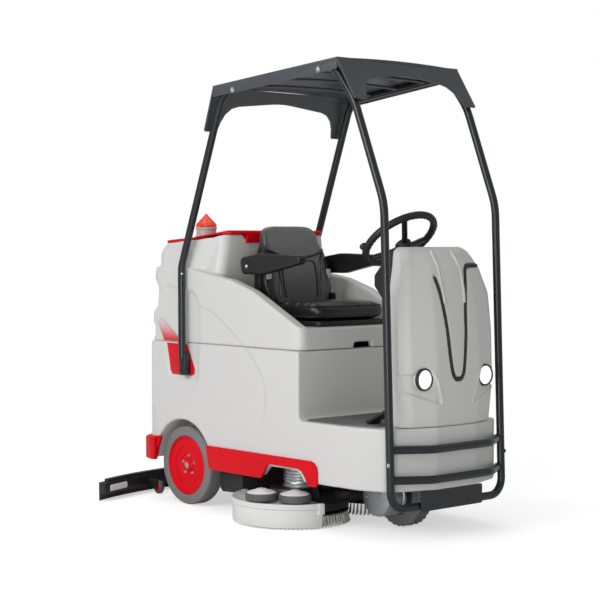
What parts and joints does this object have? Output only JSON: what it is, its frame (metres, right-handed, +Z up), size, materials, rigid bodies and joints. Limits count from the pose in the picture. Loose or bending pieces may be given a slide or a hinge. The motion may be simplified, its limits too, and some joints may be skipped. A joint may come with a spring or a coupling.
{
  "type": "ride-on floor scrubber",
  "caption": "Ride-on floor scrubber with a roofed guard frame, tilting tank and seat, steered front drive, lifting brush deck and curved rear squeegee.",
  "frame": {"origin": "middle of the object's footprint box, on the floor", "axes": "+Z up, -Y towards the front, -X to the driver's right"},
  "size_m": [1.25, 1.955, 2.0399],
  "materials": {
    "grey_moulding": "satin moulded polyethylene, light grey",
    "red_moulding": "satin moulded plastic, red",
    "guard_paint": "anthracite powder coat",
    "roof_plastic": "thermoformed sheet, fine satin grain",
    "black_plastic": "moulded, fine grain",
    "seat_vinyl": "black vinyl, stitched",
    "steel": "zinc plated, satin",
    "aluminium": "cast, tumbled",
    "frame_paint": "black paint",
    "tyre": "solid grey rubber, satin",
    "rubber": "black rubber, matt",
    "skirt_plastic": "pale grey flexible moulding",
    "bristle": "stiff nylon bristle",
    "lamp_glass": "clear lens over a bright reflector",
    "beacon_orange": "clear orange lens",
    "battery_case": "black casing",
    "switch_red": "gloss red"
  },
  "bodies": {
    "chassis": {"lower_body": "grey_moulding", "floor_mat": "rubber", "skirt_right": "red_moulding", "skirt_left": "red_moulding", "rear_bumper": "red_moulding", "chassis_frame": "frame_paint", "rear_axle": "steel", "battery_pack": "battery_case", "vacuum_motor": "aluminium", "rear_hinge": "black_plastic", "console_shell": "grey_moulding", "headlight_right": "lamp_glass", "headlight_left": "lamp_glass", "dash_panel": "black_plastic", "steering_column": "black_plastic", "guard_hoop_right": "guard_paint", "guard_hoop_left": "guard_paint", "guard_bow_upper": "guard_paint", "guard_bow_lower": "guard_paint", "guard_plate": "guard_paint", "roof_shell": "roof_plastic"},
    "steering": {"steering_wheel": "black_plastic"},
    "knob": {"steering_knob": "black_plastic"},
    "key": {"key_switch": "steel"},
    "stop": {"stop_button": "switch_red"},
    "pedal": {"drive_pedal": "black_plastic"},
    "tank": {"recovery_tank": "grey_moulding"},
    "lid": {"tank_lid": "red_moulding", "beacon_base": "black_plastic", "beacon_lens": "beacon_orange"},
    "seat": {"seat_slide": "black_plastic", "seat_cushion": "seat_vinyl"},
    "backrest": {"seat_back": "seat_vinyl"},
    "arm_right": {"armrest_right": "seat_vinyl"},
    "arm_left": {"armrest_left": "seat_vinyl"},
    "fork": {"drive_fork": "frame_paint", "drive_motor": "aluminium"},
    "drive_wheel": {"drive_tyre": "tyre", "drive_hub": "aluminium"},
    "rear_wheel_right": {"rear_tyre_right": "tyre", "rear_rim_right": "red_moulding"},
    "rear_wheel_left": {"rear_tyre_left": "tyre", "rear_rim_left": "red_moulding"},
    "deck": {"brush_deck": "black_plastic", "brush_motor_right": "aluminium", "brush_motor_left": "aluminium", "splash_skirt_right": "skirt_plastic", "splash_skirt_left": "skirt_plastic"},
    "brush_head_right": {"brush_right": "bristle"},
    "brush_head_left": {"brush_left": "bristle"},
    "bump_rear_right": {"roller_rear_right": "rubber"},
    "bump_front_right": {"roller_front_right": "rubber"},
    "bump_rear_left": {"roller_rear_left": "rubber"},
    "bump_front_left": {"roller_front_left": "rubber"},
    "lift_link": {"deck_link": "steel"},
    "squeegee_lift_arm": {"squeegee_arm": "frame_paint"},
    "squeegee": {"squeegee_body": "black_plastic", "squeegee_blade": "rubber"},
    "caster_right": {"squeegee_caster_right": "rubber"},
    "caster_left": {"squeegee_caster_left": "rubber"}
  },
  "joints": [
    {"name": "tank_tilt", "type": "hinge", "parent": "chassis", "child": "tank", "pos_m": [0, 0.7885, 0.772], "axis": [-1, 0, 0], "range_deg": [0, 45]},
    {"name": "lid_open", "type": "hinge", "parent": "tank", "child": "lid", "pos_m": [0, 0.715, 1.24087], "axis": [-1, 0, 0], "range_deg": [0, 75]},
    {"name": "seat_adjust", "type": "slide", "parent": "tank", "child": "seat", "axis": [0, -1, 0], "range_m": [0, 0.12]},
    {"name": "backrest_fold", "type": "hinge", "parent": "seat", "child": "backrest", "pos_m": [0, 0.07, 0.992], "axis": [1, 0, 0], "range_deg": [0, 25]},
    {"name": "arm_right_fold", "type": "hinge", "parent": "backrest", "child": "arm_right", "pos_m": [-0.254, 0.14, 1.136], "axis": [-1, 0, 0], "range_deg": [0, 90]},
    {"name": "arm_left_fold", "type": "hinge", "parent": "backrest", "child": "arm_left", "pos_m": [0.254, 0.14, 1.136], "axis": [-1, 0, 0], "range_deg": [0, 90]},
    {"name": "steering_turn", "type": "hinge", "parent": "chassis", "child": "steering", "pos_m": [0, -0.585, 1.262], "axis": [0, 0.6293, 0.7771], "range_deg": [-240, 240]},
    {"name": "knob_spin", "type": "hinge", "parent": "steering", "child": "knob", "pos_m": [-0.15058, -0.52537, 1.21372], "axis": [0, 0.6293, 0.7771], "continuous": true},
    {"name": "fork_steer", "type": "hinge", "parent": "chassis", "child": "fork", "pos_m": [0, -0.615, 0.372], "axis": [0, 0, 1], "range_deg": [-81, 81]},
    {"name": "drive_roll", "type": "hinge", "parent": "fork", "child": "drive_wheel", "pos_m": [0, -0.615, 0.14], "axis": [1, 0, 0], "continuous": true},
    {"name": "rear_roll_right", "type": "hinge", "parent": "chassis", "child": "rear_wheel_right", "pos_m": [-0.328, 0.475, 0.187], "axis": [1, 0, 0], "continuous": true},
    {"name": "rear_roll_left", "type": "hinge", "parent": "chassis", "child": "rear_wheel_left", "pos_m": [0.328, 0.475, 0.187], "axis": [1, 0, 0], "continuous": true},
    {"name": "deck_lift", "type": "slide", "parent": "chassis", "child": "deck", "axis": [0, 0, 1], "range_m": [0, 0.045]},
    {"name": "link_swing", "type": "hinge", "parent": "chassis", "child": "lift_link", "pos_m": [0, 0.1, 0.185], "axis": [-1, 0, 0], "range_deg": [0, 13.2]},
    {"name": "brush_spin_right", "type": "hinge", "parent": "deck", "child": "brush_head_right", "pos_m": [-0.265, -0.18, 0.03], "axis": [0, 0, 1], "continuous": true},
    {"name": "brush_spin_left", "type": "hinge", "parent": "deck", "child": "brush_head_left", "pos_m": [0.265, -0.18, 0.03], "axis": [0, 0, 1], "continuous": true},
    {"name": "bump_spin_rear_right", "type": "hinge", "parent": "deck", "child": "bump_rear_right", "pos_m": [-0.48088, -0.21034, 0.134], "axis": [0, 0, 1], "continuous": true},
    {"name": "bump_spin_front_right", "type": "hinge", "parent": "deck", "child": "bump_front_right", "pos_m": [-0.40513, -0.347, 0.134], "axis": [0, 0, 1], "continuous": true},
    {"name": "bump_spin_rear_left", "type": "hinge", "parent": "deck", "child": "bump_rear_left", "pos_m": [0.48088, -0.21034, 0.134], "axis": [0, 0, 1], "continuous": true},
    {"name": "bump_spin_front_left", "type": "hinge", "parent": "deck", "child": "bump_front_left", "pos_m": [0.40513, -0.347, 0.134], "axis": [0, 0, 1], "continuous": true},
    {"name": "squeegee_lift", "type": "hinge", "parent": "chassis", "child": "squeegee_lift_arm", "pos_m": [0, 0.64, 0.148], "axis": [1, 0, 0], "range_deg": [0, 7.4]},
    {"name": "squeegee_swing", "type": "hinge", "parent": "squeegee_lift_arm", "child": "squeegee", "pos_m": [0, 0.8, 0.12], "axis": [0, 0, 1], "range_deg": [-10, 10]},
    {"name": "caster_roll_right", "type": "hinge", "parent": "squeegee", "child": "caster_right", "pos_m": [-0.27, 0.82637, 0.032], "axis": [1, 0, 0], "continuous": true},
    {"name": "caster_roll_left", "type": "hinge", "parent": "squeegee", "child": "caster_left", "pos_m": [0.27, 0.82637, 0.032], "axis": [1, 0, 0], "continuous": true},
    {"name": "pedal_press", "type": "hinge", "parent": "chassis", "child": "pedal", "pos_m": [-0.262, -0.69, 0.486], "axis": [1, 0, 0], "range_deg": [0, 7], "stiffness_Nm_per_rad": 3, "springref_deg": -5.73},
    {"name": "key_turn", "type": "hinge", "parent": "chassis", "child": "key", "pos_m": [-0.125, -0.66485, 1.1635], "axis": [0, 0.7295, 0.684], "range_deg": [0, 90]},
    {"name": "stop_press", "type": "slide", "parent": "chassis", "child": "stop", "axis": [0, -0.7295, -0.684], "range_m": [0, 0.005]}
  ],
  "couplings": [
    {"joint": "fork_steer", "follows": "steering_turn", "ratio": 0.33333},
    {"joint": "link_swing", "follows": "deck_lift", "rad_per_m": 5}
  ]
}
